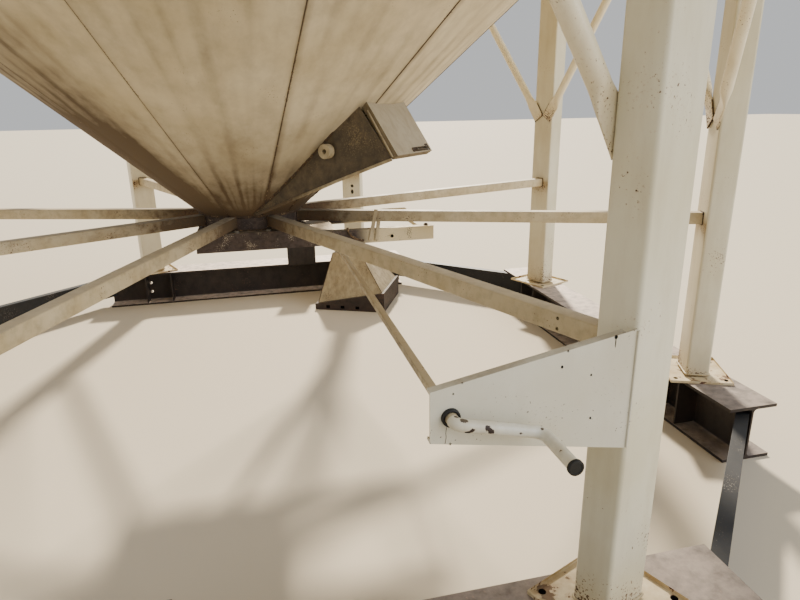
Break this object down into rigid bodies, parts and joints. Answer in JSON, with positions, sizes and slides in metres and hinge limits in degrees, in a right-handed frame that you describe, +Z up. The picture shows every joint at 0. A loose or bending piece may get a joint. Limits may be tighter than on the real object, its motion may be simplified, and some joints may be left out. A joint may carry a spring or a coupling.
{
  "type": "grain silo",
  "caption": "Cone-bottomed steel grain silo on legs and skid beams, with braced legs, a rack-driven slide gate under the cone and a crank beside one leg.",
  "frame": {"origin": "on the tank axis at ground level, under the skid beams", "axes": "+Z up, +X the way the slide gate opens, -Y the side with the crank"},
  "size_m": [4.384, 4.4166, 8.6734],
  "materials": {
    "cream_paint": "aged semi-gloss",
    "shaded_paint": "aged, dusty",
    "dirty_paint": "dirty, flaking",
    "rusty_steel": "rusted mill finish",
    "worn_plate": "worn",
    "galvanised": "dull zinc",
    "rubber": "matt"
  },
  "bodies": {
    "silo": {"boot_base": "rusty_steel", "brace_pair_1": "cream_paint", "brace_pair_2": "cream_paint", "brace_pair_3": "cream_paint", "brace_pair_4": "cream_paint", "brace_pair_5": "cream_paint", "brace_pair_6": "cream_paint", "brace_pair_7": "cream_paint", "brace_pair_8": "cream_paint", "chute_box": "dirty_paint", "chute_lid": "cream_paint", "chute_stub": "cream_paint", "corner_tie_northeast": "galvanised", "corner_tie_northwest": "galvanised", "corner_tie_southeast": "galvanised", "corner_tie_southwest": "galvanised", "crank_bracket": "cream_paint", "crank_bushing": "rubber", "discharge_collar": "dirty_paint", "gate_frame": "dirty_paint", "hopper_cone": "shaded_paint", "ladder": "cream_paint", "leg_1": "cream_paint", "leg_2": "cream_paint", "leg_3": "cream_paint", "leg_4": "cream_paint", "leg_5": "cream_paint", "leg_6": "cream_paint", "leg_7": "cream_paint", "leg_8": "cream_paint", "outlet_boot": "cream_paint", "ring_plate": "cream_paint", "roof_collar": "cream_paint", "roof_cone": "cream_paint", "roof_lid": "cream_paint", "skid_beam_east": "rusty_steel", "skid_beam_north": "rusty_steel", "skid_beam_south": "rusty_steel", "skid_beam_west": "rusty_steel", "spoke_1": "shaded_paint", "spoke_2": "shaded_paint", "spoke_3": "shaded_paint", "spoke_4": "shaded_paint", "spoke_5": "shaded_paint", "spoke_6": "shaded_paint", "spoke_7": "shaded_paint", "spoke_8": "shaded_paint", "tank_wall": "cream_paint"},
    "gate": {"slide_gate": "worn_plate"},
    "crank": {"gate_shaft": "cream_paint", "crank_handle": "cream_paint", "crank_grip": "rubber"}
  },
  "joints": [
    {"name": "gate_slide", "type": "slide", "parent": "silo", "child": "gate", "axis": [1, 0, 0], "range_m": [0, 0.455]},
    {"name": "crank_turn", "type": "hinge", "parent": "silo", "child": "crank", "pos_m": [0.362, 0, 0.879], "axis": [0, 1, 0], "range_deg": [0, 1422]}
  ],
  "couplings": [
    {"joint": "crank_turn", "follows": "gate_slide", "rad_per_m": 54.542}
  ]
}
